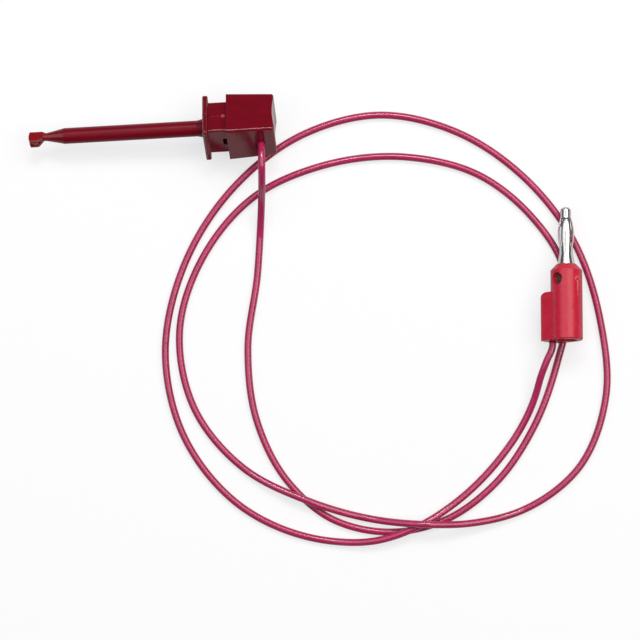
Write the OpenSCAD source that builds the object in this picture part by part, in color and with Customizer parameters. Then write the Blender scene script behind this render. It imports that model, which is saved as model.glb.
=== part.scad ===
// Test lead: a sprung hook clip, a limp wire and a stackable banana plug, lying on a bench.
// The bench is the plane z = 0 and the origin is the middle of what stands on it.

/* [Wire] */
// Outside diameter of the wire
wire_d = 2; // [1.6:0.1:2.2]
// Diameter of the bare strands inside it
strand_d = 0.96; // [0.7:0.02:1.1]

/* [Clip body] */
// Length of the nose, from its tip to the tapered shaft
nose_l = 4.9; // [4.6:0.1:6]
// Thickness of the nose, across its hook slot
nose_w = 3; // [2.6:0.1:3.6]
// Height of the nose above the rod's centre line
nose_rise = 1.1; // [0.9:0.05:1.4]
// Depth of the nose below the rod's centre line
nose_drop = 2.5; // [2.4:0.05:3]
// Length of the nose's level underside, in front of its slanted heel
heel_l = 2.3; // [1.8:0.1:2.6]
// Radius of the nose's domed front
front_r = 3.2; // [2.6:0.1:5]
// Diameter of the shaft behind the nose
neck_d = 2.2; // [1.8:0.1:2.8]
// Length of the tapered shaft
taper_l = 5; // [3:0.5:8]
// Diameter of the barrel
barrel_d = 4.4; // [3.6:0.1:5]
// Length of the barrel, from its taper to the finger flange
barrel_l = 38.8; // [25:0.2:45]
// Length of the flare where the barrel meets the flange
flare_l = 1.9; // [1:0.1:4]
// Height of that flare above the barrel
flare_h = 0.45; // [0.2:0.05:1]
// Width of the square finger flange
flange_w = 13.1; // [12:0.1:15]
// Thickness of the finger flange
flange_t = 1.55; // [1.2:0.05:2]
// Radius of the flange's four corners
flange_r = 0.85; // [0.4:0.05:2]
// Width of the square block that slides in the cap
block_w = 10.1; // [9.5:0.1:10.6]
// Radius of the block's long edges
block_r = 0.6; // [0.3:0.1:1.2]
// Thickness of the block in front of the spring pocket
pocket_floor = 1.15; // [0.8:0.05:2]
// Where the block's wire slot starts, behind the flange
slot_start = 3.75; // [2.5:0.05:6]

/* [Thumb cap] */
// Travel of the clip body when the cap is pressed
travel = 4.5; // [3:0.1:5]
// Gap that stays between flange and cap when it is pressed home
press_gap = 0.55; // [0.3:0.05:1.5]
// Gap between block and cap, each side
slide_gap = 0.15; // [0.1:0.01:0.25]
// Wall of the cap at its open end
cap_wall = 1.45; // [1.3:0.05:2]
// Length of the cap
cap_l = 13.1; // [12:0.1:16]
// How much each side of the cap leans in over its length
cap_draft = 0.5; // [0.1:0.05:0.6]
// Radius of the cap's four long edges
cap_r = 0.8; // [0.4:0.05:1.5]
// Radius of the edges round the thumb face
thumb_r = 0.7; // [0.4:0.05:1.2]
// Depth of the scoop in the thumb face
scoop = 0.5; // [0.3:0.05:0.9]
// Width of the ridge on each side of the scoop
scoop_rim = 1.2; // [0.8:0.05:2]
// End wall of the cap, under the middle of the scoop
cap_end = 1.5; // [1:0.05:2]
// Distance of the wire hole's centre from the thumb end
hole_back = 3.9; // [3.4:0.05:5]

/* [Hook] */
// Diameter of the hook's rod
rod_d = 0.8; // [0.6:0.05:0.9]
// Running gap round the rod in the clip body
rod_gap = 0.08; // [0.05:0.01:0.1]
// Radius of the hook's bend, at the middle of the rod
bend_r = 0.95; // [0.85:0.05:1]
// How far the bend lies behind the tip of the nose
hook_recess = 0.4; // [0.2:0.05:0.8]
// Straight length of the hook's return leg
leg_l = 0.5; // [0.2:0.05:0.6]
// Length of the point on the return leg
point_l = 0.35; // [0.2:0.05:0.5]
// Gap on each side of the hook in its slot
slot_gap = 0.15; // [0.1:0.01:0.25]
// Gap between the hook and the anvil it closes on
anvil_gap = 0.1; // [0.05:0.01:0.15]

/* [Spring and terminal] */
// Outside diameter of the return spring
spring_d = 5; // [4:0.1:5.4]
// Diameter of the spring's wire
coil_d = 0.45; // [0.3:0.05:0.5]
// Open turns of the spring, between its two closed end turns
coil_turns = 6; // [4:1:7]
// Gap between the spring and the wall of its pocket
pocket_gap = 0.5; // [0.2:0.05:0.7]
// Thickness of the washer behind the spring
washer_t = 0.5; // [0.3:0.05:1]
// Diameter of the terminal on the rod
terminal_d = 2.4; // [2:0.1:3]
// Length of the terminal
terminal_l = 4.6; // [4.2:0.1:5]
// Depth of its socket in the cap's end wall
socket_depth = 0.5; // [0.3:0.05:0.6]
// Metal left behind the rod in the terminal
terminal_web = 0.25; // [0.2:0.05:0.5]

/* [Plug body] */
// Length of the plug's moulded body
body_l = 21.2; // [19.5:0.1:26]
// Wall of the body round the metal core
body_wall = 1.47; // [1.1:0.01:2.2]
// Length of the cone at the body's nose
cone_l = 1.75; // [1:0.05:2]
// Width of the flat ring round the core at the nose
nose_ring = 0.25; // [0.2:0.05:0.6]
// Width of the wire boss across its two flat sides
boss_w = 8.3; // [6.5:0.1:8.6]
// Wall of the boss outside the wire
boss_wall = 0.6; // [0.5:0.02:1.5]
// Where the boss starts, behind the nose
boss_start = 7.8; // [7.2:0.1:8.6]
// Radius of the boss's two long edges
boss_r = 1.6; // [0.8:0.1:2]
// Radius of the boss's shoulder at its front
shoulder_r = 3; // [2:0.1:3.2]
// Chamfer round the open rear end
rim_c = 0.3; // [0.1:0.05:0.5]
// Wall between the wire channel and the core
channel_wall = 1.12; // [0.8:0.02:1.5]
// Gap round the wire in its channel
wire_gap = 0.03; // [0.02:0.01:0.1]
// Bare straight run of the strands, between the jacket and their turn into the core
strand_run = 1.5; // [0.5:0.1:3]

/* [Plug core] */
// Diameter of the metal core inside the body
core_d = 5.8; // [5.5:0.1:6.4]
// Gap between core and body
core_gap = 0.03; // [0.02:0.01:0.1]
// How far the core's rear end lies inside the body
core_recess = 0.8; // [0:0.1:2]
// Diameter of the rear jack bore
jack_d = 4.04; // [4.02:0.01:4.2]
// Diameter of the cross bore
cross_d = 3; // [2.4:0.05:3.4]
// Distance of the cross bore's centre behind the nose
cross_at = 4.4; // [3.9:0.05:4.8]
// Metal left between the cross bore and the rear jack
jack_web = 0.6; // [0.4:0.02:1]
// Diameter of the core's neck in the body's nose
neck_ring_d = 4.9; // [4.4:0.1:5.2]
// Length of that neck
neck_ring_l = 1.2; // [0.8:0.05:1.4]
// Extra radius of the cross hole in the moulded body
cross_gap = 0.22; // [0.17:0.01:0.3]
// Distance of the strands' side hole behind the nose
tail_at = 10.5; // [10:0.1:11.5]
// Depth of that side hole
tail_hole = 0.55; // [0.4:0.05:0.65]

/* [Pin] */
// Length of the conical flare in front of the nose
cone_pin_l = 3; // [2:0.1:4]
// Diameter of the leaf cage's lower ring
cage_d = 3.7; // [3.4:0.05:4]
// Length of the lower ring
ring_low_l = 1.7; // [1:0.1:2.5]
// Diameter of the leaves where they bulge most
bulge_d = 4.5; // [4.2:0.05:4.8]
// Length of the leaves
leaf_l = 8.3; // [7:0.1:10]
// Where the leaves bulge most, as a distance above the lower ring
bulge_at = 3.9; // [3:0.1:4.5]
// Diameter of the cage's upper ring and of the tip
tip_d = 3; // [2.8:0.05:3.2]
// Length of the upper ring
ring_up_l = 2; // [1:0.1:3]
// Length of the rounded tip
tip_l = 1.1; // [0.8:0.1:1.5]
// Thickness of the cage's sheet metal
sheet = 0.25; // [0.2:0.01:0.3]
// Number of leaves
leaves = 4; // [3:1:5]
// Width of the slots between the leaves
leaf_slot = 0.9; // [0.4:0.05:1.1]
// Gap between the cage and the stud it is pressed on
cage_gap = 0.02; // [0.01:0.01:0.04]

/* [Hidden] */
$fn = 48;

// How the clip lies: turn on the bench, rise of its thumb end, roll about its length
clip_yaw = 3.1;
clip_pitch = 2.5;
clip_roll = 33.5;
// Where the flange's middle lies on the bench
clip_spot = [-26.66, 25.2];
// How the plug lies: dip of its pin, roll of its boss
plug_pitch = 7.5;
plug_roll = 43;
// Where the nose of the plug's body lies on the bench, and its height
plug_at = [72.02, -12.47, 6.25];

// Clip: x runs along the rod to the thumb end, from the flange's rear face
tip_x = -(flange_t + barrel_l + taper_l + nose_l);
taper_x = tip_x + nose_l;
barrel_x = taper_x + taper_l;
cap_x = travel + press_gap;
cap_back = cap_x + cap_l;
cap_w = block_w + 2*(slide_gap + cap_wall);
cavity_w = block_w + 2*slide_gap;
cavity_end = cap_back - scoop - cap_end;
end_gap = 0.3;
block_l = cavity_end - travel - end_gap;
block_lead = 0.4;
pocket_d = spring_d + 2*pocket_gap;
wire_x = cap_back - hole_back;
wire_hole_d = wire_d + 0.16;
wire_slot_w = wire_d + 0.7;
exit_y = -(cap_w/2 - cap_draft*(wire_x - cap_x)/(cap_l - thumb_r)) - 0.02;
hook_x = tip_x + hook_recess + bend_r + rod_d/2;
hook_slot_w = rod_d + 2*slot_gap;
bore_d = rod_d + 2*rod_gap;
anvil_r = bend_r - rod_d/2 - anvil_gap;
terminal_back = cavity_end + socket_depth;
terminal_x = terminal_back - terminal_l;
fit_gap = 0.02;
rod_back = terminal_back - terminal_web;
washer_x = terminal_x - washer_t;
strand_y = rod_d/2 + 0.05;
jacket_y = cap_w/2 - 2.95;
solder_l = 0.5;
solder_foot_d = strand_d + 0.7;
solder_lip_d = strand_d + 0.2;

// Plug: z runs forward along the pin from the body's nose, x towards the wire boss
core_hole_d = core_d + 2*core_gap;
body_d = core_hole_d + 2*body_wall;
channel_d = wire_d + 2*wire_gap;
channel_x = core_hole_d/2 + channel_wall + channel_d/2;
boss_x = channel_x + channel_d/2 + boss_wall;
core_back = body_l - core_recess;
jack_end = cross_at + cross_d/2 + jack_web;
jack_lead = 0.3;
tail_turn_r = 1;
jacket_end = tail_at + tail_turn_r + strand_run;
tail_x = core_d/2 - tail_hole;
tail_room_d = solder_foot_d + 0.1;
channel_room_d = strand_d + 0.3;
cross_hole_d = cross_d + 2*cross_gap;
cross_lead = 0.15;
cage_z = cone_pin_l;
leaf_z = cage_z + ring_low_l;
leaf_end = leaf_z + leaf_l;
tip_z = leaf_end + ring_up_l;
stud_d = tip_d - 2*(sheet + cage_gap);
seat_d = cage_d - 2*(sheet + cage_gap);
slot_web = 0.15;
// One leaf looks straight up from the bench
leaf_turn = 90 + plug_roll;

// Cuts reach this far past the faces that they open
cut = 1;

// The wire on the bench: x, y and the height of its underside, from clip to plug
lay = [
  [-12.2, 14.7, 14.2], [-12.2, 10.3, 11.5], [-12.4, 5.1, 5.3], [-12.8, -2.5, 0.9],
  [-13.6, -15, 0], [-16.3, -36, 0], [-13.8, -56, 0], [-5.1, -73, 0], [7, -83.3, 0],
  [24, -87, 0], [39.2, -83.4, 0], [52.5, -73.6, 0], [63.4, -57.7, 0], [70, -39.5, 0],
  [73.2, -22.3, 0], [71, -11.5, 0], [62.3, 1.4, 0], [48.6, 12.2, 0], [27.9, 17.5, 0],
  [3.8, 14.9, 0], [-14.5, 6.5, 0], [-28, -9, 0], [-35.3, -30.7, 0], [-31, -53, 0],
  [-17.5, -69.2, 0], [0.5, -78.2, 2.2], [17.5, -83.2, 0.6], [33.1, -84.6, 4.4],
  [46, -84.4, 2], [60.5, -80.8, 0], [76, -69, 0], [83.5, -49, 0], [82, -28.5, 0],
  [74, -5, 0], [60.5, 12, 0], [42, 24.4, 0], [20.5, 29.2, 0], [-1.5, 23.5, 0],
  [-20, 9.3, 0], [-34, -12.5, 0], [-39.3, -37.5, 0], [-33.8, -61, 0], [-18, -80, 0],
  [6, -89.4, 0], [19.5, -89.3, 1.5], [30.5, -85.6, 2.2], [41.4, -78.9, 0.7],
  [54.5, -65.8, 0], [59.6, -58.3, 0.2], [62.7, -51.8, 1.4], [63.9, -48.2, 2.3],
  [65.1, -43.6, 3.6], [66.6, -39.4, 4.6]
];
// Straight run of the wire out of the clip and out of the plug
clip_run = 3;
plug_run = 1;
// Distance between the wire's rings, and its sides
ring_gap = 13;
wire_sides = 8;

// Turns a direction about one axis
function turn_x(a, p) = [p[0], p[1]*cos(a) - p[2]*sin(a), p[1]*sin(a) + p[2]*cos(a)];
function turn_y(a, p) = [p[0]*cos(a) + p[2]*sin(a), p[1], p[2]*cos(a) - p[0]*sin(a)];
function turn_z(a, p) = [p[0]*cos(a) - p[1]*sin(a), p[0]*sin(a) + p[1]*cos(a), p[2]];
// A direction of the clip or of the plug, as it points on the bench
function clip_way(p) = turn_z(clip_yaw, turn_y(-clip_pitch, turn_x(-clip_roll, p)));
function plug_way(p) = turn_x(-(90 + plug_pitch), turn_z(180 - plug_roll, p));

// The flange's lowest corner touches the bench
flange_e = flange_t/2;
flange_low = (flange_w/2 - flange_e)*(sin(clip_roll) + cos(clip_roll))*cos(clip_pitch);
bench_gap = 0.02;
clip_at = [
  clip_spot[0], clip_spot[1], flange_low + flange_e*(1 + sin(clip_pitch)) + bench_gap
];

// The wire's whole centre line
clip_exit = clip_at + clip_way([wire_x, exit_y, 0]);
plug_exit = plug_at + plug_way([channel_x, 0, -body_l - 0.02]);
route = concat(
  [clip_exit, clip_exit + clip_run*clip_way([0, -1, 0])],
  [for (p = lay) [p[0], p[1], p[2] + wire_d/2]],
  [plug_exit - plug_run*plug_way([0, 0, 1]), plug_exit]
);

function unit(v) = v/norm(v);
// Slope of a smooth curve through the points p at point i, per unit of length
function slope(p, i) =
  i == 0 ? unit(p[1] - p[0]) :
  i == len(p) - 1 ? unit(p[i] - p[i - 1]) :
  let (a = p[i] - p[i - 1], b = p[i + 1] - p[i], la = norm(a), lb = norm(b))
  (a*lb/la + b*la/lb)/(la + lb);
// Point on the curve between points i and i + 1, f of the way
function on_curve(p, i, f) =
  let (d = norm(p[i + 1] - p[i]), g = 1 - f)
  g*g*(1 + 2*f)*p[i] + f*f*(3 - 2*f)*p[i + 1]
  + d*g*g*f*slope(p, i) - d*f*f*g*slope(p, i + 1);
// The same point, lifted onto the bench where the curve would dip below it
function on_bench(p) = [p[0], p[1], max(p[2], wire_d/2)];
// Points along the curve, the ends included
function smooth(p, gap) = concat(
  [for (i = [0:len(p) - 2])
    let (n = max(1, round(norm(p[i + 1] - p[i])/gap)))
    for (k = [0:n - 1]) on_bench(on_curve(p, i, k/n))],
  [p[len(p) - 1]]
);
// Direction of a run of points at point i
function heading(p, i) = unit(p[min(i + 1, len(p) - 1)] - p[max(i - 1, 0)]);
// Ring of n points round the point p, square to the direction t
function ring(p, t, side, d, n) =
  let (u = unit(side - (side*t)*t), v = cross(t, u))
  [for (k = [0:n - 1]) p + d/2*(cos(360*k/n)*u + sin(360*k/n)*v)];

// A closed tube through rings of equal point counts
module tube(rings) {
  n = len(rings[0]);
  last = (len(rings) - 1)*n;
  polyhedron(
    points = [for (r = rings) each r],
    faces = concat(
      [[for (k = [0:n - 1]) k], [for (k = [0:n - 1]) last + n - 1 - k]],
      [for (i = [0:n:last - 1], k = [0:n - 1])
        let (a = i + k, b = i + (k + 1)%n)
        each [[a, a + n, b + n], [a, b + n, b]]]
    )
  );
}

// A rectangle with four round corners
module soft_rect(w, h, r) {
  square([w - 2*r, h], center = true);
  square([w, h - 2*r], center = true);
  for (sx = [-1, 1], sy = [-1, 1])
    translate([sx*(w/2 - r), sy*(h/2 - r)]) circle(r);
}

// Front view, side view and top view of a form that runs along x
module front_view(x, l) translate([x, 0, 0]) rotate([90, 0, 90]) linear_extrude(l) children();
module side_view(t) linear_extrude(t, center = true) children();
module top_view(t) rotate([90, 0, 0]) linear_extrude(t, center = true) children();

// Round rod or hole along x
module rod_x(x, l, d) translate([x, 0, 0]) rotate([0, 90, 0]) cylinder(d = d, h = l);

module on_clip() translate(clip_at) rotate([-clip_roll, -clip_pitch, clip_yaw]) children();
module on_plug() {
  translate(plug_at) rotate([-(90 + plug_pitch), 0, 0]) rotate([0, 0, 180 - plug_roll]) children();
}

// Side view of the nose, x from its tip: domed front, level underside, slanted heel
module nose_side() {
  top_end = nose_rise - 0.25;
  difference() {
    intersection() {
      polygon([
        [0, -nose_drop], [nose_l, -nose_drop], [nose_l, top_end],
        [heel_l + 1.3, nose_rise], [0, nose_rise]
      ]);
      union() {
        translate([front_r, (nose_rise - nose_drop)/2]) circle(front_r);
        translate([front_r, -nose_drop]) square([nose_l, nose_rise + nose_drop]);
      }
    }
    polygon([
      [heel_l, -nose_drop], [heel_l + nose_drop, 0], [nose_l + cut, 0],
      [nose_l + cut, -nose_drop - cut], [heel_l, -nose_drop - cut]
    ]);
  }
}

// Top view of the nose: round front corners, narrowing to the neck behind the heel
module nose_top() {
  r = 0.5;
  end_w = neck_d*0.55;
  polygon([
    [r, -nose_w/2], [heel_l + 0.7, -nose_w/2], [nose_l, -end_w/2],
    [nose_l, end_w/2], [heel_l + 0.7, nose_w/2], [r, nose_w/2]
  ]);
  translate([0, -nose_w/2 + r]) square([2*r, nose_w - 2*r]);
  for (s = [-1, 1]) translate([r, s*(nose_w/2 - r)]) circle(r);
}

module nose() {
  h = nose_rise + nose_drop;
  translate([tip_x, 0, 0]) intersection() {
    side_view(nose_w + cut) nose_side();
    top_view(3*h) nose_top();
    front_view(0, nose_l) translate([(nose_rise - nose_drop)/2, 0]) soft_rect(h, nose_w, 0.55);
  }
}

// Neck, tapered shaft, barrel and flare, turned about the rod
module shaft() {
  barrel_end = -flange_t - flare_l;
  rotate([0, 90, 0]) rotate_extrude() polygon([
    [0, tip_x + heel_l + 0.7], [neck_d/2, tip_x + heel_l + 0.7], [neck_d/2, taper_x],
    [barrel_d/2, barrel_x], [barrel_d/2, barrel_end], [barrel_d/2 + flare_h, -flange_t],
    [barrel_d/2 + flare_h, -flange_e], [0, -flange_e]
  ]);
}

// Edge view of the flange, its rim rounded to a full half circle
module flange_edge() {
  translate([-flange_t, -flange_w/2 + flange_e]) square([flange_t, flange_w - 2*flange_e]);
  for (s = [-1, 1]) translate([-flange_e, s*(flange_w/2 - flange_e)]) circle(flange_e);
}

module flange() {
  intersection() {
    front_view(-flange_t, flange_t) soft_rect(flange_w, flange_w, flange_r);
    side_view(flange_w) flange_edge();
    top_view(flange_w) flange_edge();
  }
}

// Side of the block, from inside the flange, with a chamfered rear end
module block_side() {
  polygon([
    [-flange_e, -block_w/2], [block_l - block_lead, -block_w/2],
    [block_l, -block_w/2 + block_lead], [block_l, block_w/2 - block_lead],
    [block_l - block_lead, block_w/2], [-flange_e, block_w/2]
  ]);
}

module block() {
  intersection() {
    front_view(-flange_e, block_l + flange_e) soft_rect(block_w, block_w, block_r);
    side_view(block_w + cut) block_side();
    top_view(block_w + cut) block_side();
  }
}

// Side view of the slot that the hook closes into, with the anvil left standing in it
module hook_slot() {
  slot_end = tip_x + heel_l + 1.1;
  difference() {
    translate([tip_x - cut, -nose_drop - cut])
      square([slot_end - tip_x + cut, nose_drop + cut + bore_d/2 + 0.02]);
    translate([hook_x, -bend_r]) circle(anvil_r);
    translate([hook_x, -bend_r - anvil_r]) square([slot_end - hook_x + cut, 2*anvil_r]);
  }
}

module clip_body() {
  color([0.45, 0.04, 0.1]) on_clip() difference() {
    union() {
      nose();
      shaft();
      flange();
      block();
    }
    side_view(hook_slot_w) hook_slot();
    rod_x(hook_x, pocket_floor - hook_x + cut, bore_d);
    rod_x(pocket_floor, block_l, pocket_d);
    translate([slot_start, -block_w/2 - cut, -wire_slot_w/2])
      cube([block_l, block_w/2 + cut, wire_slot_w]);
  }
}

// Outer form of the cap: leaning sides, round long edges and round edges at the thumb face
module cap_form() {
  mouth = cap_w/2 - cap_r;
  thumb = cap_w/2 - cap_draft - thumb_r;
  hull() for (sy = [-1, 1], sz = [-1, 1]) {
    translate([0, sy*mouth, sz*mouth]) rod_x(cap_x, 0.01, 2*cap_r);
    translate([cap_back - thumb_r, sy*thumb, sz*thumb]) rotate([0, 90, 0])
      sphere(thumb_r, $fn = 32);
  }
}

module plunger_cap() {
  half = cap_w/2 - cap_draft - scoop_rim;
  scoop_r = (half*half + scoop*scoop)/(2*scoop);
  color([0.48, 0.05, 0.11]) on_clip() difference() {
    cap_form();
    side_view(cap_w + cut)
      translate([cap_back - scoop + scoop_r, 0]) circle(scoop_r, $fn = 180);
    front_view(cap_x - cut, cavity_end - cap_x + cut)
      soft_rect(cavity_w, cavity_w, block_r + slide_gap);
    rod_x(cavity_end - cut, socket_depth + cut, terminal_d + 2*fit_gap);
    translate([wire_x, 0, 0]) rotate([90, 0, 0]) cylinder(d = wire_hole_d, h = cap_w);
  }
}

module hook_rod() {
  color([0.72, 0.72, 0.74]) on_clip() {
    rod_x(hook_x, rod_back - hook_x, rod_d);
    translate([hook_x, -bend_r, 0]) rotate([0, 0, 90])
      rotate_extrude(angle = 180) translate([bend_r, 0]) circle(d = rod_d);
    translate([0, -2*bend_r, 0]) {
      rod_x(hook_x, leg_l, rod_d);
      translate([hook_x + leg_l, 0, 0]) rotate([0, 90, 0])
        cylinder(d1 = rod_d, d2 = rod_d/3, h = point_l);
    }
  }
}

// Height of the spring's wire above its front end after t turns, with a closed turn at each end
function coil_rise(t, pitch) =
  coil_d*min(t, 1) + pitch*min(max(t - 1, 0), coil_turns) + coil_d*max(t - 1 - coil_turns, 0);

module return_spring() {
  spring_l = washer_x - pocket_floor;
  pitch = (spring_l - 3*coil_d)/coil_turns;
  steps = 18*(coil_turns + 2);
  coil_r = (spring_d - coil_d)/2;
  line = [for (k = [0:steps]) let (t = k*(coil_turns + 2)/steps)
    [pocket_floor + coil_d/2 + coil_rise(t, pitch), coil_r*cos(360*t), coil_r*sin(360*t)]];
  color([0.7, 0.71, 0.73]) on_clip()
    tube([for (k = [0:steps]) ring(line[k], heading(line, k), [1, 0, 0], coil_d, 7)]);
}

module spring_washer() {
  color([0.75, 0.72, 0.6]) on_clip() difference() {
    rod_x(washer_x, washer_t, spring_d);
    rod_x(washer_x - cut, washer_t + 2*cut, bore_d);
  }
}

module rod_terminal() {
  color([0.78, 0.66, 0.36]) on_clip() difference() {
    rod_x(terminal_x, terminal_l, terminal_d);
    rod_x(terminal_x - cut, terminal_l - terminal_web + cut, rod_d + 2*fit_gap);
    translate([wire_x, 0, 0]) rotate([90, 0, 0]) cylinder(d = strand_d + 2*fit_gap, h = terminal_d);
  }
}

module clip_wire_end() {
  color([0.6, 0.08, 0.22]) on_clip() translate([wire_x, -jacket_y, 0]) rotate([90, 0, 0])
    cylinder(d = wire_d, h = -exit_y - jacket_y);
}

module clip_conductor() {
  color([0.8, 0.5, 0.3]) on_clip() translate([wire_x, -strand_y, 0]) rotate([90, 0, 0])
    cylinder(d = strand_d, h = jacket_y - strand_y);
}

module clip_solder() {
  color([0.8, 0.8, 0.82]) on_clip() difference() {
    translate([wire_x, -terminal_d/4, 0]) rotate([90, 0, 0])
      cylinder(d1 = solder_foot_d, d2 = solder_lip_d, h = terminal_d/4 + solder_l);
    rod_x(terminal_x, terminal_l, terminal_d);
    translate([wire_x, 0, 0]) rotate([90, 0, 0]) cylinder(d = strand_d, h = terminal_d);
  }
}

// The round body, turned about the pin's axis
module plug_round() {
  rotate_extrude() polygon([
    [0, 0], [neck_ring_d/2 + core_gap + nose_ring, 0], [body_d/2, -cone_l],
    [body_d/2, rim_c - body_l], [body_d/2 - rim_c, -body_l], [0, -body_l]
  ]);
}

// The boss beside it, flat on both sides, with two round long edges and a round shoulder
module plug_boss() {
  boss_l = body_l - boss_start;
  intersection() {
    translate([0, 0, -body_l]) linear_extrude(boss_l) {
      translate([0, -boss_w/2]) square([boss_x - boss_r, boss_w]);
      translate([0, -boss_w/2 + boss_r]) square([boss_x, boss_w - 2*boss_r]);
      for (s = [-1, 1]) translate([boss_x - boss_r, s*(boss_w/2 - boss_r)]) circle(boss_r);
    }
    top_view(boss_w + cut) {
      translate([0, -body_l]) square([boss_x - shoulder_r, boss_l]);
      translate([0, -body_l]) square([boss_x, boss_l - shoulder_r]);
      translate([boss_x - shoulder_r, -boss_start - shoulder_r]) circle(shoulder_r);
    }
  }
}

module plug_body() {
  color([0.78, 0.16, 0.25]) on_plug() difference() {
    union() {
      plug_round();
      plug_boss();
    }
    // Bore for the core, and the hole for its neck
    translate([0, 0, -body_l - cut]) cylinder(d = core_hole_d, h = body_l - neck_ring_l + cut);
    translate([0, 0, -neck_ring_l - cut])
      cylinder(d = neck_ring_d + 2*core_gap, h = neck_ring_l + 2*cut);
    // Channel for the wire, and the room for its strands
    translate([channel_x, 0, -body_l - cut]) cylinder(d = channel_d, h = body_l - jacket_end + cut);
    translate([channel_x, 0, -jacket_end - cut])
      cylinder(d = channel_room_d, h = jacket_end - tail_at + cut + tail_room_d/2);
    translate([0, 0, -tail_at]) rotate([0, 90, 0]) cylinder(d = tail_room_d, h = channel_x);
    // Cross hole with a softened edge at both ends
    translate([0, 0, -cross_at]) rotate([90, 0, 0])
      cylinder(d = cross_hole_d, h = body_d + cut, center = true);
    for (s = [-1, 1]) translate([0, 0, -cross_at]) rotate([-90*s, 0, 0])
      translate([0, 0, body_d/2 - 2*cross_lead])
        cylinder(d1 = cross_hole_d - 2*cross_lead, d2 = cross_hole_d + 4*cross_lead, h = 3*cross_lead);
  }
}

module plug_core() {
  color([0.8, 0.8, 0.82]) on_plug() difference() {
    rotate_extrude() polygon(concat(
      [[0, -core_back], [core_d/2, -core_back], [core_d/2, -neck_ring_l],
        [neck_ring_d/2, -neck_ring_l], [neck_ring_d/2, 0], [cage_d/2, cage_z],
        [seat_d/2, cage_z], [seat_d/2, leaf_z], [stud_d/2, leaf_z], [stud_d/2, tip_z],
        [tip_d/2, tip_z]],
      [for (a = [15:15:90]) [tip_d/2*cos(a), tip_z + tip_l*sin(a)]]
    ));
    // Rear jack with a softened mouth
    translate([0, 0, -core_back - cut]) cylinder(d = jack_d, h = core_back - jack_end + cut);
    translate([0, 0, -core_back - jack_lead])
      cylinder(d1 = jack_d + 4*jack_lead, d2 = jack_d, h = 2*jack_lead);
    // Cross bore
    translate([0, 0, -cross_at]) rotate([90, 0, 0])
      cylinder(d = cross_d, h = core_d + cut, center = true);
    // Side hole for the strands
    translate([tail_x, 0, -tail_at]) rotate([0, 90, 0]) cylinder(d = strand_d + 2*fit_gap, h = core_d);
  }
}

// Outer radius of a leaf at height f above the lower ring, full and round at the bulge
function leaf_r(f) =
  f < bulge_at
  ? cage_d/2 + (bulge_d - cage_d)/2*sin(90*f/bulge_at)
  : tip_d/2 + (bulge_d - tip_d)/2*pow(cos(90*(f - bulge_at)/(leaf_l - bulge_at)), 0.9);

module leaf_spring() {
  outer = concat(
    [[cage_d/2, cage_z]],
    [for (k = [0:14]) let (f = leaf_l*k/14) [leaf_r(f), leaf_z + f]],
    [[tip_d/2, tip_z]]
  );
  inner = [for (k = [len(outer) - 1:-1:0]) outer[k] - [sheet, 0]];
  // The slots' round ends stop short of the two rings
  slot_l = leaf_l - leaf_slot - 2*slot_web;
  color([0.82, 0.82, 0.84]) on_plug() difference() {
    rotate_extrude() polygon(concat(outer, inner));
    for (k = [0:leaves - 1]) rotate([0, 0, leaf_turn + 360*(k + 0.5)/leaves])
      translate([0, 0, leaf_z + leaf_l/2]) rotate([0, 90, 0]) linear_extrude(bulge_d) {
        square([slot_l, leaf_slot], center = true);
        for (s = [-1, 1]) translate([s*slot_l/2, 0]) circle(d = leaf_slot);
      }
  }
}

module plug_wire_end() {
  color([0.6, 0.08, 0.22]) on_plug() translate([channel_x, 0, -body_l - 0.02])
    cylinder(d = wire_d, h = body_l - jacket_end + 0.02);
}

module plug_conductor() {
  turn_z0 = -tail_at - tail_turn_r;
  turn_x0 = channel_x - tail_turn_r;
  color([0.8, 0.5, 0.3]) on_plug() {
    translate([channel_x, 0, -jacket_end]) cylinder(d = strand_d, h = jacket_end + turn_z0);
    translate([turn_x0, 0, turn_z0]) rotate([90, 0, 0])
      rotate_extrude(angle = 90) translate([tail_turn_r, 0]) circle(d = strand_d);
    translate([tail_x, 0, -tail_at]) rotate([0, 90, 0]) cylinder(d = strand_d, h = turn_x0 - tail_x);
  }
}

module plug_solder() {
  foot_x = core_d/2 - solder_l/2;
  color([0.8, 0.8, 0.82]) on_plug() difference() {
    translate([foot_x, 0, -tail_at]) rotate([0, 90, 0])
      cylinder(d1 = solder_foot_d, d2 = solder_lip_d, h = solder_l*1.5);
    cylinder(d = core_d, h = 2*body_l, center = true);
    translate([0, 0, -tail_at]) rotate([0, 90, 0]) cylinder(d = strand_d, h = core_d);
  }
}

module lead_wire() {
  line = smooth(route, ring_gap);
  last = len(line) - 1;
  // The end rings lie square to the wire's straight runs
  way = [for (i = [0:last])
    i == 0 ? slope(route, 0) : i == last ? slope(route, len(route) - 1) : heading(line, i)];
  color([0.6, 0.08, 0.22])
    tube([for (i = [0:last]) ring(line[i], way[i], cross(way[i], [0, 0, 1]), wire_d, wire_sides)]);
}

clip_body();
plunger_cap();
hook_rod();
return_spring();
spring_washer();
rod_terminal();
clip_wire_end();
clip_conductor();
clip_solder();
plug_body();
plug_core();
leaf_spring();
plug_wire_end();
plug_conductor();
plug_solder();
lead_wire();
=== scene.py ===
from math import cos, pi, radians, sin

import bmesh
import bpy
from mathutils import Matrix, Vector


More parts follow.
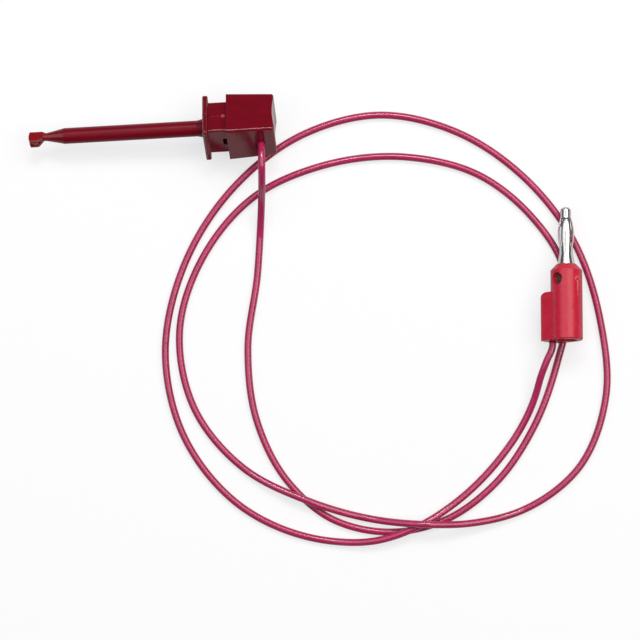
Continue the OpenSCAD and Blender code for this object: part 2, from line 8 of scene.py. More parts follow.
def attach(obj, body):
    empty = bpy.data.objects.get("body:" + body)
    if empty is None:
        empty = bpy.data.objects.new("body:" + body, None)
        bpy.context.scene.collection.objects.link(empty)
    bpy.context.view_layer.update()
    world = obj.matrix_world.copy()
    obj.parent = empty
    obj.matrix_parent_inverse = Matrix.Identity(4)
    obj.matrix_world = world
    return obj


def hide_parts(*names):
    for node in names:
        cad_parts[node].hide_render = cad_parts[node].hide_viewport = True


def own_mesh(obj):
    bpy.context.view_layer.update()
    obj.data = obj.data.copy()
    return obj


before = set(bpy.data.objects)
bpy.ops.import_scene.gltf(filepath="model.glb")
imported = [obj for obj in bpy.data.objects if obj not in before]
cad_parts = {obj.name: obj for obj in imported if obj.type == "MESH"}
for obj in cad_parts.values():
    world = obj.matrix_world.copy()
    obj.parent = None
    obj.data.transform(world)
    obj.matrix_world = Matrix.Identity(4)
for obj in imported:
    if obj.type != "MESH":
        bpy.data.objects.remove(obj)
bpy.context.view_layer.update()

# A test lead on a bench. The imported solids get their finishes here, a round wire and a real coil
# take the place of their plain solids, and the marks of the moulds are added.

# Everything in the scene is in metres; sizes are written in millimetres and multiplied by MM
MM = 0.001

# The photograph's frame: 640 pixels across, 0.279 mm each at the bench
PIXELS = 640
PIXEL_MM = 0.279
CAMERA_HEIGHT = 0.9
SENSOR = 36
# The middle of the photograph, on the bench
VIEW_CENTRE = Vector((3.8, -27.9, 0)) * MM

# How the clip and the plug lie, as in the part's source
CLIP_YAW, CLIP_PITCH, CLIP_ROLL = radians(3.1), radians(2.5), radians(33.5)
PLUG_PITCH, PLUG_ROLL = radians(7.5), radians(43)
# Where the clip's flange lies on the bench, and the nose of the plug's body above it
CLIP_SPOT = Vector((-26.66, 25.2, 0)) * MM
PLUG_AT = Vector((72.02, -12.47, 6.25)) * MM
# How far above z = 0 the clip's lowest corner stands
BENCH_GAP = 0.02

# The clip's sizes that the added pieces need, in millimetres, as in the part's source. Its own x
# runs from the rear face of the flange to the thumb end
FLANGE_W, FLANGE_T = 13.1, 1.55
BARREL_L = 38.8
BLOCK_W = 10.1
TRAVEL, PRESS_GAP = 4.5, 0.55
CAP_L, CAP_W, CAP_DRAFT = 13.1, 13.3, 0.5
THUMB_R = 0.7
HOLE_BACK = 3.9
POCKET_FLOOR, WASHER_X = 1.15, 11.55
SPRING_D, COIL_D, COIL_TURNS = 5.0, 0.45, 6
# The radius of the flange's rounded rim
FLANGE_E = FLANGE_T / 2
# Where the barrel starts, where the cap's mouth is at rest, and where the wire leaves the cap
BARREL_X = -(FLANGE_T + BARREL_L)
CAP_X = TRAVEL + PRESS_GAP
WIRE_X = CAP_X + CAP_L - HOLE_BACK

# The plug's sizes. Its own z runs forward along the pin from the nose of its body, and its x
# points to the wire boss
BODY_D, BODY_L = 8.8, 21.2
CHANNEL_X = 5.08
NECK_L = 1.2

# The wire: its diameter, the gap at either end, the distance of its rings and the points on one
WIRE_D = 2.0
END_GAP = 0.02
WIRE_STEP, WIRE_SIDES = 1.2, 24
# The strands under the jacket: how many show round it, and the length of one turn
STRANDS, STRAND_LAY = 12, 15.0
# The spring's wire: points on one turn, and round it
COIL_STEPS, COIL_SIDES = 32, 10

# How deep an added mark is sunk in the surface that carries it
SUNK = 0.03
# The clip's gate stub: the place of its middle along x, and its width across the clip as a share
# of its length
GATE_X, GATE_SHARE = 4.1, 0.82
GATE_SIDES = 32
# Radius and height of the stub's rings, from its foot over the rim and down into the crater
GATE_PROFILE = [(0.66, -SUNK), (0.66, 0.02), (0.61, 0.075), (0.54, 0.11), (0.46, 0.12),
                (0.38, 0.1), (0.3, 0.05), (0.22, 0.015), (0.02, 0.01)]
# The seam on the block: its start behind the flange, its steps, half its width and its height
SEAM_START, SEAM_STEP, SEAM_POINTS = 0.05, 0.25, 14
BLOCK_HALF, BLOCK_HIGH = 0.07, 0.035
# The seam round the flange's rim: half its width and its height
RIM_HALF, RIM_HIGH = 0.1, 0.06
# The share of its height that a seam keeps at its two ends
SEAM_END = 0.35
# The plug's gate scar: its direction from the boss, its place along z and the radius of its arch
SCAR_ANGLE, SCAR_Z, SCAR_R = radians(173.5), -4.65, 0.76
# Half the width of the arch, its height, and its height at its two ends
ARCH_HALF, ARCH_HIGH, ARCH_END = 0.2, 0.14, 0.03
# The flow streak behind the scar: its steps, and how fast it thins out
STREAK_STEP, STREAK_POINTS, STREAK_FADE = 0.3, 16, 1.5
# Half its width and its height, each at its far end and at the scar
STREAK_HALF, STREAK_HIGH = (0.06, 0.36), (0.02, 0.12)


def turn(angle, axis):
    """A rotation about one axis through the origin."""
    return Matrix.Rotation(angle, 4, axis)


def clip_height():
    """Height of the clip's axis when a corner of its flange rests on the bench."""
    corner = (FLANGE_W / 2 - FLANGE_E) * (sin(CLIP_ROLL) + cos(CLIP_ROLL)) * cos(CLIP_PITCH)
    return corner + FLANGE_E * (1 + sin(CLIP_PITCH)) + BENCH_GAP


CLIP_AT = CLIP_SPOT + Vector((0, 0, clip_height())) * MM
CLIP_TURN = turn(CLIP_YAW, "Z") @ turn(-CLIP_PITCH, "Y") @ turn(-CLIP_ROLL, "X")
PLUG_TURN = turn(-(pi / 2 + PLUG_PITCH), "X") @ turn(pi - PLUG_ROLL, "Z")
# The axes of the clip, of the plug, and of what has none of its own
CLIP = Matrix.Translation(CLIP_AT) @ CLIP_TURN
PLUG = Matrix.Translation(PLUG_AT) @ PLUG_TURN
BENCH = Matrix.Identity(4)


def add_camera():
    """Straight above the bench, as the photograph was taken."""
    data = bpy.data.cameras.new("photo_camera")
    data.sensor_width = SENSOR
    data.lens = SENSOR * CAMERA_HEIGHT / (PIXELS * PIXEL_MM * MM)
    camera = bpy.data.objects.new("photo_camera", data)
    camera.location = VIEW_CENTRE + Vector((0, 0, CAMERA_HEIGHT))
    bpy.context.scene.collection.objects.link(camera)
    bpy.context.scene.camera = camera


# The wire's route on the bench, as in the part's source: x, y and the height of its underside
LAY = [
    (-12.2, 14.7, 14.2), (-12.2, 10.3, 11.5), (-12.4, 5.1, 5.3), (-12.8, -2.5, 0.9),
    (-13.6, -15, 0), (-16.3, -36, 0), (-13.8, -56, 0), (-5.1, -73, 0), (7, -83.3, 0),
    (24, -87, 0), (39.2, -83.4, 0), (52.5, -73.6, 0), (63.4, -57.7, 0), (70, -39.5, 0),
    (73.2, -22.3, 0), (71, -11.5, 0), (62.3, 1.4, 0), (48.6, 12.2, 0), (27.9, 17.5, 0),
    (3.8, 14.9, 0), (-14.5, 6.5, 0), (-28, -9, 0), (-35.3, -30.7, 0), (-31, -53, 0),
    (-17.5, -69.2, 0), (0.5, -78.2, 2.2), (17.5, -83.2, 0.6), (33.1, -84.6, 4.4),
    (46, -84.4, 2), (60.5, -80.8, 0), (76, -69, 0), (83.5, -49, 0), (82, -28.5, 0),
    (74, -5, 0), (60.5, 12, 0), (42, 24.4, 0), (20.5, 29.2, 0), (-1.5, 23.5, 0),
    (-20, 9.3, 0), (-34, -12.5, 0), (-39.3, -37.5, 0), (-33.8, -61, 0), (-18, -80, 0),
    (6, -89.4, 0), (19.5, -89.3, 1.5), (30.5, -85.6, 2.2), (41.4, -78.9, 0.7),
    (54.5, -65.8, 0), (59.6, -58.3, 0.2), (62.7, -51.8, 1.4), (63.9, -48.2, 2.3),
    (65.1, -43.6, 3.6), (66.6, -39.4, 4.6),
]
# Its straight runs out of the clip and out of the plug
CLIP_RUN = 3
PLUG_RUN = 1


def wire_route():
    """The points that the wire follows, out of the clip and into the plug."""
    lean = CAP_DRAFT * (WIRE_X - CAP_X) / (CAP_L - THUMB_R)
    start = CLIP @ (Vector((WIRE_X, -(CAP_W / 2 - lean) - END_GAP, 0)) * MM)
    out = CLIP_TURN @ (Vector((0, -CLIP_RUN, 0)) * MM)
    end = PLUG @ (Vector((CHANNEL_X, 0, -BODY_L - END_GAP)) * MM)
    back = PLUG_TURN @ (Vector((0, 0, -PLUG_RUN)) * MM)
    bench = [Vector((x, y, lift + WIRE_D / 2)) * MM for x, y, lift in LAY]
    return [start, start + out, *bench, end + back, end]


def slope(points, i):
    """Slope of the smooth curve at point i, per metre of length."""
    if i == 0:
        return (points[1] - points[0]).normalized()
    if i == len(points) - 1:
        return (points[i] - points[i - 1]).normalized()
    a, b = points[i] - points[i - 1], points[i + 1] - points[i]
    return (a * (b.length / a.length) + b * (a.length / b.length)) / (a.length + b.length)


def smooth(points, gap):
    """Points on a smooth curve through the given ones, about gap apart.

    None of them is lower than the middle of a wire that lies on the bench.
    """
    line = []
    for i in range(len(points) - 1):
        d = (points[i + 1] - points[i]).length
        steps = max(2, round(d / gap))
        for k in range(steps):
            f = k / steps
            g = 1 - f
            p = g * g * (1 + 2 * f) * points[i] + f * f * (3 - 2 * f) * points[i + 1]
            p += d * g * g * f * slope(points, i) - d * f * f * g * slope(points, i + 1)
            p.z = max(p.z, WIRE_D / 2 * MM)
            line.append(p)
    return line + [points[-1]]


def heading(line, i):
    """The direction of a line at point i."""
    return (line[min(i + 1, len(line) - 1)] - line[max(i - 1, 0)]).normalized()


def round_angles(sides):
    """The directions of equally spaced points on a circle."""
    return [2 * pi * k / sides for k in range(sides)]


def skin_rings(name, rings):
    """A closed skin over rings of equal point counts; its two ends stay flat."""
    bm = bmesh.new()
    rows = [[bm.verts.new(p) for p in ring] for ring in rings]
    n = len(rows[0])
    for a, b in zip(rows, rows[1:]):
        for k in range(n):
            face = bm.faces.new((a[k], b[k], b[(k + 1) % n], a[(k + 1) % n]))
            face.smooth = True
    bm.faces.new(rows[0])
    bm.faces.new(reversed(rows[-1]))
    bmesh.ops.recalc_face_normals(bm, faces=bm.faces)
    mesh = bpy.data.meshes.new(name)
    bm.to_mesh(mesh)
    bm.free()
    return mesh


def tube(name, line, radius, sides, aside):
    """A round tube along a line that nowhere runs along the direction aside."""
    rings = []
    for i, p in enumerate(line):
        way = heading(line, i)
        side = way.cross(aside).normalized()
        up = side.cross(way)
        rings.append([p + radius * (cos(a) * side + sin(a) * up) for a in round_angles(sides)])
    return skin_rings(name, rings)


def mark_lay(mesh, line, sides):
    """Stores how each point of a tube lies: its direction round it, and millimetres along it."""
    spots = mesh.attributes.new("lay", "FLOAT_VECTOR", "POINT")
    along = 0.0
    for i, p in enumerate(line):
        along += (p - line[max(i - 1, 0)]).length / MM
        for k, a in enumerate(round_angles(sides)):
            spots.data[i * sides + k].vector = (cos(a), sin(a), along)


def ridge(name, line, normals, halves, heights, steps=6):
    """A low round-backed ridge along a line on a surface, sunk a little into it."""
    rings = []
    for i, (p, normal) in enumerate(zip(line, normals)):
        side = normal.cross(heading(line, i)).normalized()
        ring = []
        for k in range(steps + 1):
            a = pi * k / steps
            ring.append(p + halves[i] * MM * cos(a) * side + heights[i] * MM * sin(a) * normal)
        foot = SUNK * MM * normal
        ring += [p - halves[i] * MM * side - foot, p + halves[i] * MM * side - foot]
        rings.append(ring)
    return skin_rings(name, rings)


def add_piece(name, mesh, body):
    """A new piece that rides on a body."""
    piece = bpy.data.objects.new(name, mesh)
    bpy.context.scene.collection.objects.link(piece)
    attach(piece, body)
    return piece


def add_wire():
    """The free wire, as one smooth tube that remembers how its strands lie."""
    route = wire_route()
    line = smooth(route, WIRE_STEP * MM)
    mesh = tube("wire_jacket_tube", line, WIRE_D / 2 * MM, WIRE_SIDES, Vector((0, 0, 1)))
    mark_lay(mesh, line, WIRE_SIDES)
    wire = add_piece("wire_jacket_tube", mesh, "lead")
    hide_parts("lead_wire")
    return wire


def coil_rise(t, pitch):
    """How far along the spring its wire is after t turns, with a closed turn at each end."""
    closed = min(t, 1) + max(t - 1 - COIL_TURNS, 0)
    opened = min(max(t - 1, 0), COIL_TURNS)
    return COIL_D * closed + pitch * opened


def add_spring():
    """The return spring with closed end turns."""
    length = WASHER_X - POCKET_FLOOR
    # The closed turns take two thicknesses of the wire, and its own round ends one more
    pitch = (length - 3 * COIL_D) / COIL_TURNS
    radius = (SPRING_D - COIL_D) / 2
    line = []
    for k in range(COIL_STEPS * (COIL_TURNS + 2) + 1):
        t = k / COIL_STEPS
        x = POCKET_FLOOR + COIL_D / 2 + coil_rise(t, pitch)
        spot = Vector((x, radius * cos(2 * pi * t), radius * sin(2 * pi * t))) * MM
        line.append(CLIP @ spot)
    axis = CLIP_TURN @ Vector((1, 0, 0))
    mesh = tube("spring_coil", line, COIL_D / 2 * MM, COIL_SIDES, axis)
    spring = add_piece("spring_coil", mesh, "lead")
    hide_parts("return_spring")
    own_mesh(spring)
    return spring


# Marks that the moulds left on the plastic


def add_clip_gate():
    """The cut-off gate on the block: a low round stub with a crater in its middle."""
    rings = []
    for r, h in GATE_PROFILE:
        z = BLOCK_W / 2 + h
        ring = [Vector((GATE_X + r * cos(a), GATE_SHARE * r * sin(a), z))
                for a in round_angles(GATE_SIDES)]
        rings.append([CLIP @ (p * MM) for p in ring])
    mesh = skin_rings("block_gate_stub", rings)
    return add_piece("block_gate_stub", mesh, "clip")


def block_seam():
    """The seam over the block: x and height of each point, and x and z of its normal."""
    return [(SEAM_START + SEAM_STEP * k, BLOCK_W / 2, 0, 1) for k in range(SEAM_POINTS)]


def rim_seam(steps=12):
    """The seam over the rounded rim of the flange, in the same four numbers."""
    spots = []
    for k in range(steps + 1):
        a = pi - pi * k / steps
        reach = FLANGE_W / 2 - FLANGE_E + FLANGE_E * sin(a)
        spots.append((-FLANGE_E + FLANGE_E * cos(a), reach, cos(a), sin(a)))
    return spots


def add_seam(name, side, spots, half, height):
    """One seam, on the upper side of the clip or, where side is -1, on its lower side."""
    line = [CLIP @ (Vector((x, 0, side * h)) * MM) for x, h, nx, nz in spots]
    normals = [CLIP_TURN @ Vector((nx, 0, side * nz)) for x, h, nx, nz in spots]
    ends = [SEAM_END] + [1.0] * (len(line) - 2) + [SEAM_END]
    mesh = ridge(name, line, normals, [half] * len(line), [height * e for e in ends])
    return add_piece(name, mesh, "clip")


def add_clip_seams():
    """The seam where the mould closed, over the block and round the rim of the flange."""
    seams = []
    for side, word in ((1, "upper"), (-1, "lower")):
        seams.append(add_seam(f"block_seam_{word}", side, block_seam(), BLOCK_HALF, BLOCK_HIGH))
        seams.append(add_seam(f"flange_seam_{word}", side, rim_seam(), RIM_HALF, RIM_HIGH))
    return seams


def on_plug(arc, z):
    """A point on the plug's round side and its normal; arc runs round it from the gate scar."""
    a = SCAR_ANGLE + arc / (BODY_D / 2)
    out = Vector((cos(a), sin(a), 0))
    spot = PLUG @ ((out * BODY_D / 2 + Vector((0, 0, z))) * MM)
    return spot, PLUG_TURN @ out


def add_plug_mark(name, spots, halves, heights):
    """A ridge over spots, each a point and its normal, on the plug's round side."""
    mesh = ridge(name, [p for p, _ in spots], [v for _, v in spots], halves, heights)
    return add_piece(name, mesh, "lead")


def add_plug_marks():
    """The gate scar opposite the boss: a small arch with a flow streak running from it."""
    arch = [on_plug(SCAR_R * cos(radians(t)), SCAR_Z + SCAR_R * sin(radians(t)))
            for t in range(-20, 201, 20)]
    heights = [ARCH_END] + [ARCH_HIGH] * (len(arch) - 2) + [ARCH_END]
    scar = add_plug_mark("plug_gate_arch", arch, [ARCH_HALF] * len(arch), heights)
    streak = [on_plug(0, SCAR_Z - STREAK_STEP * (k + 1)) for k in range(STREAK_POINTS)]
    fade = [(1 - k / (STREAK_POINTS - 1)) ** STREAK_FADE for k in range(STREAK_POINTS)]
    halves, heights = [[thin + (full - thin) * f for f in fade]
                       for thin, full in (STREAK_HALF, STREAK_HIGH)]
    return [scar, add_plug_mark("plug_flow_streak", streak, halves, heights)]


# Parts that the materials are made of


def new_material(name):
    """A new material, its node tree and its shader."""
    material = bpy.data.materials.new(name)
    material.use_nodes = True
    tree = material.node_tree
    return material, tree, tree.nodes["Principled BSDF"]


def set_sockets(shader, **values):
    """Sets sockets by name, with _ for each space."""
    for name, value in values.items():
        shader.inputs[name.replace("_", " ")].default_value = value


def add_node(tree, kind, **settings):
    """A new shader node with its settings."""
    node = tree.nodes.new("ShaderNode" + kind)
    for key, value in settings.items():
        setattr(node, key, value)
    return node


def place(tree, local, size):
    """Object coordinates in a piece's own axes, counted in grains of a size in millimetres."""
    coords = add_node(tree, "TexCoord")
    mapping = add_node(tree, "Mapping", vector_type="TEXTURE")
    mapping.inputs["Location"].default_value = local.to_translation()
    mapping.inputs["Rotation"].default_value = local.to_euler()
    mapping.inputs["Scale"].default_value = Vector(size) * MM
    tree.links.new(coords.outputs["Object"], mapping.inputs["Vector"])
    return mapping.outputs["Vector"]


def distance(tree, local, axis):
    """Millimetres along one of a piece's own axes."""
    parts = add_node(tree, "SeparateXYZ")
    tree.links.new(place(tree, local, (1, 1, 1)), parts.inputs[0])
    return parts.outputs[axis]


def noise(tree, vector, detail, roughness):
    """A cloudy value, with one grain to each unit of the vector."""
    node = add_node(tree, "TexNoise")
    node.inputs["Scale"].default_value = 1.0
    node.inputs["Detail"].default_value = detail
    node.inputs["Roughness"].default_value = roughness
    tree.links.new(vector, node.inputs["Vector"])
    return node.outputs["Fac"]


def spread(tree, value, low, high, start=0.3, end=0.7):
    """Maps start to end, the range that most of a noise lies in, onto low to high."""
    node = add_node(tree, "MapRange")
    for name, number in (("From Min", start), ("From Max", end), ("To Min", low), ("To Max", high)):
        node.inputs[name].default_value = number
    tree.links.new(value, node.inputs["Value"])
    return node.outputs["Result"]


def multiply(tree, a, b):
    """The product of two values, from 0 to 1."""
    node = add_node(tree, "Math", operation="MULTIPLY", use_clamp=True)
    tree.links.new(a, node.inputs[0])
    tree.links.new(b, node.inputs[1])
    return node.outputs[0]


def scale(tree, value, share):
    """A value times a fixed number."""
    node = add_node(tree, "Math", operation="MULTIPLY")
    node.inputs[1].default_value = share
    tree.links.new(value, node.inputs[0])
    return node.outputs[0]


def add_part(tree, value, share, to):
    """A share of one value, added to another."""
    node = add_node(tree, "Math", operation="MULTIPLY_ADD")
    node.inputs[1].default_value = share
    tree.links.new(value, node.inputs[0])
    tree.links.new(to, node.inputs[2])
    return node.outputs[0]


def blend_colours(tree, factor, a, b):
    """Mixes two colours; a may be the output of another node."""
    node = add_node(tree, "Mix", data_type="RGBA")
    if isinstance(a, tuple):
        node.inputs[6].default_value = (*a, 1)
    else:
        tree.links.new(a, node.inputs[6])
    node.inputs[7].default_value = (*b, 1)
    tree.links.new(factor, node.inputs["Factor"])
    return node.outputs[2]


def soft_edges(tree, radius):
    """The normal of edges rounded to a radius in millimetres, and where those edges are."""
    bevel = add_node(tree, "Bevel", samples=6)
    bevel.inputs["Radius"].default_value = radius * MM
    geometry = add_node(tree, "NewGeometry")
    facing = add_node(tree, "VectorMath", operation="DOT_PRODUCT")
    tree.links.new(bevel.outputs["Normal"], facing.inputs[0])
    tree.links.new(geometry.outputs["Normal"], facing.inputs[1])
    return bevel.outputs["Normal"], spread(tree, facing.outputs["Value"], 1, 0, start=0.8, end=0.99)


def add_bump(tree, height, depth, normal=None):
    """Relief of a depth in millimetres, laid over a normal."""
    node = add_node(tree, "Bump")
    node.inputs["Strength"].default_value = 1.0
    node.inputs["Distance"].default_value = depth * MM
    tree.links.new(height, node.inputs["Height"])
    if normal:
        tree.links.new(normal, node.inputs["Normal"])
    return node.outputs["Normal"]


# Plastics

# Sizes of the plastic's clouds of colour, dents and scuffs along its own axes, and the radius of
# its edges
FLOW, DENT, SCUFF = (7, 2.2, 2.2), (4, 4, 4), (1.6, 0.9, 0.9)
PLASTIC_EDGE = 0.16
# How far red, green and blue light goes under the surface, as shares, in plastic and jacket
PLASTIC_GLOW, JACKET_GLOW = (1.0, 0.2, 0.25), (1.0, 0.2, 0.3)
# The clip's thin nose lets more light through, so it is a lighter red, which fades over a
# stretch of x
THIN_RED = (0.27, 0.006, 0.012)
THIN_FADE = (-47, -42)
# The barrel is as from a blasted part of the mould: rougher, with duller reflections
BLASTED_ROUGH = 0.22
BLASTED_SHINE = (0.42, 0.3, 0.32)
# How softly that surface starts at the taper and ends at the flange
TAPER_FADE, FLANGE_FADE = 0.4, 0.2


def moulded_plastic(name, local, colours, worn_and_highlight, rough, grain, grain_depth, dent_depth, glow,
                    zones=None):
    """Moulded plastic: flow in its colour, uneven gloss, a grained skin and edges painted lighter,
    partly as rubbed wear and partly as a painted highlight along them.

    Where zones is given, it changes the colour and the roughness of parts of the piece.
    """
    material, tree, shader = new_material(name)
    flow = noise(tree, place(tree, local, FLOW), detail=4, roughness=0.55)
    skin = noise(tree, place(tree, local, (grain, grain, grain)), detail=2, roughness=0.6)
    dents = noise(tree, place(tree, local, DENT), detail=1, roughness=0.4)
    scuffs = noise(tree, place(tree, local, SCUFF), detail=3, roughness=0.6)
    normal, edges = soft_edges(tree, PLASTIC_EDGE)
    # Lighter edges: partly rubbed wear, partly a painted highlight along the edges
    rub_and_highlight = multiply(tree, edges, spread(tree, skin, low=0.1, high=0.75))
    base = blend_colours(tree, spread(tree, flow, 0, 1), *colours)
    gloss = spread(tree, scuffs, *rough, start=0.35, end=0.75)
    if zones:
        base, gloss = zones(tree, shader, local, base, gloss)
    tree.links.new(blend_colours(tree, rub_and_highlight, base, worn_and_highlight), shader.inputs["Base Color"])
    tree.links.new(gloss, shader.inputs["Roughness"])
    normal = add_bump(tree, dents, dent_depth, normal)
    tree.links.new(add_bump(tree, skin, grain_depth, normal), shader.inputs["Normal"])
    set_sockets(shader, Subsurface_Weight=glow[0], Subsurface_Scale=glow[1] * MM,
                Subsurface_Radius=PLASTIC_GLOW)
    return material


def clip_zones(tree, shader, local, base, gloss):
    """The clip's blasted barrel and its lighter nose."""
    x = distance(tree, local, "X")
    start = spread(tree, x, 0, 1, BARREL_X - TAPER_FADE, BARREL_X)
    end = spread(tree, x, 1, 0, -FLANGE_T - FLANGE_FADE, -FLANGE_T)
    blasted = multiply(tree, start, end)
    shine = blend_colours(tree, blasted, (1, 1, 1), BLASTED_SHINE)
    tree.links.new(shine, shader.inputs["Specular Tint"])
    thin = spread(tree, x, 1, 0, *THIN_FADE)
    return blend_colours(tree, thin, base, THIN_RED), add_part(tree, blasted, BLASTED_ROUGH, gloss)


def clip_plastic():
    """Dark red and glossy."""
    return moulded_plastic(
        "clip_plastic", CLIP, colours=((0.17, 0.0014, 0.01), (0.21, 0.002, 0.013)),
        worn_and_highlight=(0.34, 0.03, 0.05), rough=(0.09, 0.15), grain=0.3, grain_depth=0.003,
        dent_depth=0.04, glow=(0.15, 1.0), zones=clip_zones)


def gate_plastic_with_highlight():
    """The clip's gate stub, paler where it was cut, and lighter still as a painted highlight on its
    rim.
    """
    # The paler colours paint in the highlight on the stub's rim and crater
    return moulded_plastic(
        "clip_gate", CLIP, colours=((0.4, 0.03, 0.05), (0.5, 0.05, 0.07)),
        worn_and_highlight=(0.6, 0.1, 0.12), rough=(0.1, 0.2), grain=0.2, grain_depth=0.003,
        dent_depth=0.01, glow=(0.15, 1.0))


def plug_plastic():
    """Light red and satin, with a coarser skin."""
    return moulded_plastic(
        "plug_plastic", PLUG, colours=((0.58, 0.014, 0.046), (0.67, 0.019, 0.058)),
        worn_and_highlight=(0.74, 0.07, 0.09), rough=(0.26, 0.35), grain=0.26, grain_depth=0.012,
        dent_depth=0.03, glow=(0.1, 0.8))


def scar_plastic_with_highlight():
    """The plug's gate scar and its streak, paler still: partly stress-whitened, partly a painted
    highlight.
    """
    # The paler colours paint in the highlight on the arch and the streak
    return moulded_plastic(
        "plug_gate", PLUG, colours=((0.78, 0.1, 0.12), (0.86, 0.16, 0.17)),
        worn_and_highlight=(0.9, 0.25, 0.26), rough=(0.2, 0.3), grain=0.2, grain_depth=0.006,
        dent_depth=0.01, glow=(0.1, 0.8))


# The wire's jacket

# Sizes of its clouds of colour, its waves and the grain of its skin, and its two colours
CLOUD, WAVE, JACKET_GRAIN = (6, 6, 6), (1.6, 1.6, 1.6), (0.3, 0.3, 0.3)
JACKET_COLOURS = (0.43, 0.014, 0.095), (0.51, 0.02, 0.125)


def strand_relief(tree):
    """Height of the twisted strands under the jacket, from 0 to 1."""
    lay = add_node(tree, "Attribute", attribute_name="lay")
    parts = add_node(tree, "SeparateXYZ")
    tree.links.new(lay.outputs["Vector"], parts.inputs[0])
    angle = add_node(tree, "Math", operation="ARCTAN2")
    tree.links.new(parts.outputs["Y"], angle.inputs[0])
    tree.links.new(parts.outputs["X"], angle.inputs[1])
    twist = add_part(tree, parts.outputs["Z"], 2 * pi / STRAND_LAY, angle.outputs[0])
    wave = add_node(tree, "Math", operation="SINE")
    tree.links.new(scale(tree, twist, STRANDS), wave.inputs[0])
    return spread(tree, wave.outputs[0], 0, 1, start=-1, end=1)


def wire_jacket():
    """Soft, smooth insulation: cloudy colour, and a skin that shows the strands a little."""
    material, tree, shader = new_material("wire_jacket")
    cloud = noise(tree, place(tree, BENCH, CLOUD), detail=3, roughness=0.5)
    waves = noise(tree, place(tree, BENCH, WAVE), detail=2, roughness=0.5)
    skin = noise(tree, place(tree, BENCH, JACKET_GRAIN), detail=2, roughness=0.5)
    base = blend_colours(tree, spread(tree, cloud, 0, 1), *JACKET_COLOURS)
    tree.links.new(base, shader.inputs["Base Color"])
    tree.links.new(spread(tree, skin, low=0.12, high=0.2), shader.inputs["Roughness"])
    normal = add_bump(tree, waves, depth=0.02)
    normal = add_bump(tree, strand_relief(tree), depth=0.005, normal=normal)
    normal = add_bump(tree, skin, depth=0.003, normal=normal)
    tree.links.new(normal, shader.inputs["Normal"])
    set_sockets(shader, Subsurface_Weight=0.12, Subsurface_Scale=0.5 * MM,
                Subsurface_Radius=JACKET_GLOW, Specular_IOR_Level=0.9)
    return material


# Metals

# The size of a patch of tarnish, and the radius of a metal edge
TARNISH = (1.6, 1.6, 1.6)
METAL_EDGE = 0.08
# The bores of the plug's core are rougher than its plated front, which ends over a short fade
# behind its neck
BORE_ROUGH = 0.35
PLATING_FADE = 0.1


def bright_metal(name, local, colour, tint, rough, grain, depth, bore_colour_and_shade=None):
    """Turned, drawn or plated metal: fine tool marks, a little tarnish and eased edges.

    Given a colour for the bores, the metal behind the neck has it: partly the unplated metal that
    the plating doesn't reach, partly painted shade in the bores.
    """
    material, tree, shader = new_material(name)
    marks = noise(tree, place(tree, local, grain), detail=2, roughness=0.5)
    tarnish = noise(tree, place(tree, local, TARNISH), detail=4, roughness=0.6)
    base = blend_colours(tree, spread(tree, tarnish, 0, 1, start=0.45, end=0.75), colour, tint)
    gloss = spread(tree, tarnish, *rough)
    if bore_colour_and_shade:
        # Behind the neck the metal gets a darker, duller colour: partly unplated metal, partly
        # painted shade in the bores
        z = distance(tree, local, "Z")
        bore_shade_mask = spread(tree, z, 1, 0, -NECK_L - PLATING_FADE, -NECK_L)
        base = blend_colours(tree, bore_shade_mask, base, bore_colour_and_shade)
        gloss = add_part(tree, bore_shade_mask, BORE_ROUGH, gloss)
    tree.links.new(base, shader.inputs["Base Color"])
    tree.links.new(gloss, shader.inputs["Roughness"])
    set_sockets(shader, Metallic=1.0)
    normal, _ = soft_edges(tree, METAL_EDGE)
    tree.links.new(add_bump(tree, marks, depth, normal), shader.inputs["Normal"])
    return material


def nickel():
    """Bright plate on the turned core, with its tool marks round the pin."""
    # Its bores get a darker colour, partly unplated metal and partly painted shade
    return bright_metal(
        "nickel", PLUG, colour=(0.82, 0.8, 0.8), tint=(0.66, 0.62, 0.58), rough=(0.08, 0.2),
        grain=(6, 6, 0.12), depth=0.0012, bore_colour_and_shade=(0.55, 0.4, 0.34))


def hook_steel():
    """Drawn spring wire, with its marks along the rod."""
    return bright_metal(
        "hook_steel", CLIP, colour=(0.42, 0.41, 0.4), tint=(0.3, 0.28, 0.26), rough=(0.2, 0.34),
        grain=(3, 0.15, 0.15), depth=0.003)


def terminal_brass():
    """Turned brass, with its tool marks round the rod."""
    return bright_metal(
        "terminal_brass", CLIP, colour=(0.7, 0.52, 0.22), tint=(0.52, 0.36, 0.14),
        rough=(0.16, 0.3), grain=(0.15, 4, 4), depth=0.002)


def copper_strands():
    """Bare copper, uneven with its strands."""
    return bright_metal(
        "copper_strands", BENCH, colour=(0.72, 0.36, 0.2), tint=(0.5, 0.22, 0.12),
        rough=(0.22, 0.36), grain=(0.2, 0.2, 0.2), depth=0.01)


def solder():
    """Grey and slightly frosted."""
    return bright_metal(
        "solder", BENCH, colour=(0.62, 0.62, 0.63), tint=(0.45, 0.45, 0.46), rough=(0.2, 0.4),
        grain=(0.4, 0.4, 0.4), depth=0.01)


def paint(mesh, material):
    """Gives a mesh one material in place of what it has."""
    mesh.materials.clear()
    mesh.materials.append(material)


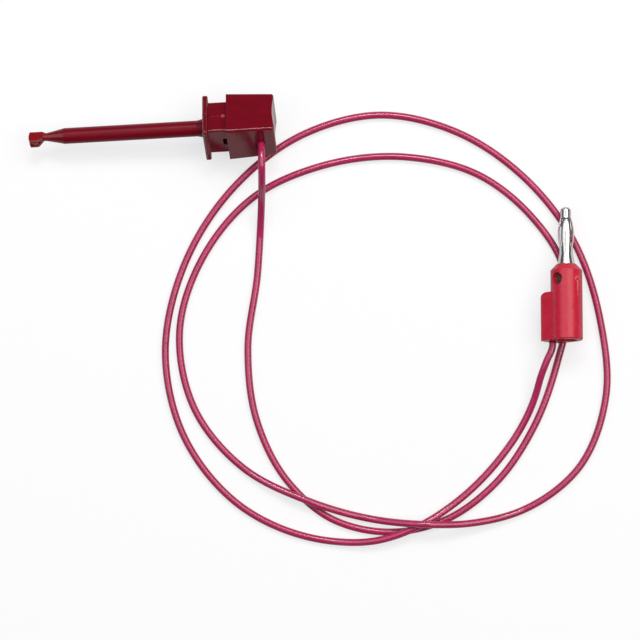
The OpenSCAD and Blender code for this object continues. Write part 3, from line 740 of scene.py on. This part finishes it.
def paint_all(wire, spring, clip_gate, clip_seams, plug_marks):
    """Gives each CAD node and each added piece its material."""
    finishes = [
        (clip_plastic(), ["clip_body", "plunger_cap"], clip_seams),
        (gate_plastic_with_highlight(), [], [clip_gate]),
        (plug_plastic(), ["plug_body"], []),
        (scar_plastic_with_highlight(), [], plug_marks),
        (nickel(), ["plug_core", "leaf_spring"], []),
        (hook_steel(), ["hook_rod"], [spring]),
        (terminal_brass(), ["spring_washer", "rod_terminal"], []),
        (copper_strands(), ["clip_conductor", "plug_conductor"], []),
        (solder(), ["clip_solder", "plug_solder"], []),
        (wire_jacket(), ["clip_wire_end", "plug_wire_end"], [wire]),
    ]
    for material, nodes, pieces in finishes:
        for node in nodes:
            paint(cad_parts[node].data, material)
        for piece in pieces:
            paint(piece.data, material)


# The bench and the lights

# The bench, in metres, just under what stands on it, and how much brighter it looks to the
# camera and in reflections
BENCH_SIZE, BENCH_Z = 6, -0.02 * MM
BENCH_COLOUR = (0.345, 0.355, 0.37, 1)
SEEN_GLOW, MIRRORED_GLOW = 0.67, 0.35
# The faint light of the room
ROOM_COLOUR, ROOM_LIGHT = (0.9, 0.93, 1, 1), 0.1
# The lamps: name, place and size in metres, watts and colour
LAMPS = [
    ("right_softbox", (0.69, 0.45, 1.2), (1.1, 1.7), 15, (1, 0.9, 0.81)),
    ("left_softbox", (-0.7, 0.45, 1.2), (1.25, 1.7), 8.2, (0.9, 0.94, 1)),
    ("back_softbox", (0, 0.78, 1.15), (0.44, 0.36), 6, (1, 0.97, 0.97)),
]


def add_bench():
    """A wide pale bench. The camera and reflections see it a little brighter, so it looks white."""
    bpy.ops.mesh.primitive_plane_add(size=BENCH_SIZE, location=(0, 0, BENCH_Z))
    bench = bpy.context.object
    bench.name = "bench"
    material, tree, shader = new_material("bench_white")
    path = add_node(tree, "LightPath")
    seen = scale(tree, path.outputs["Is Camera Ray"], SEEN_GLOW)
    glow = add_part(tree, path.outputs["Is Glossy Ray"], MIRRORED_GLOW, seen)
    tree.links.new(glow, shader.inputs["Emission Strength"])
    set_sockets(shader, Base_Color=BENCH_COLOUR, Roughness=0.9, Specular_IOR_Level=0.0,
                Emission_Color=(1, 1, 1, 1))
    bench.data.materials.append(material)


def add_softbox(name, spot, size, watts, colour):
    """A wide lamp that faces straight down."""
    data = bpy.data.lights.new(name, "AREA")
    data.shape = "RECTANGLE"
    data.size, data.size_y = size
    data.energy = watts
    data.color = colour
    lamp = bpy.data.objects.new(name, data)
    lamp.location = spot
    bpy.context.scene.collection.objects.link(lamp)


def add_lights():
    """Softboxes overhead, and a faint light from all round."""
    world = bpy.data.worlds.new("studio")
    world.use_nodes = True
    set_sockets(world.node_tree.nodes["Background"], Color=ROOM_COLOUR, Strength=ROOM_LIGHT)
    bpy.context.scene.world = world
    for lamp in LAMPS:
        add_softbox(*lamp)


add_camera()
wire = add_wire()
spring = add_spring()
clip_gate = add_clip_gate()
clip_seams = add_clip_seams()
plug_marks = add_plug_marks()
paint_all(wire, spring, clip_gate, clip_seams, plug_marks)
add_bench()
add_lights()
bpy.context.scene.view_settings.view_transform = "Standard"
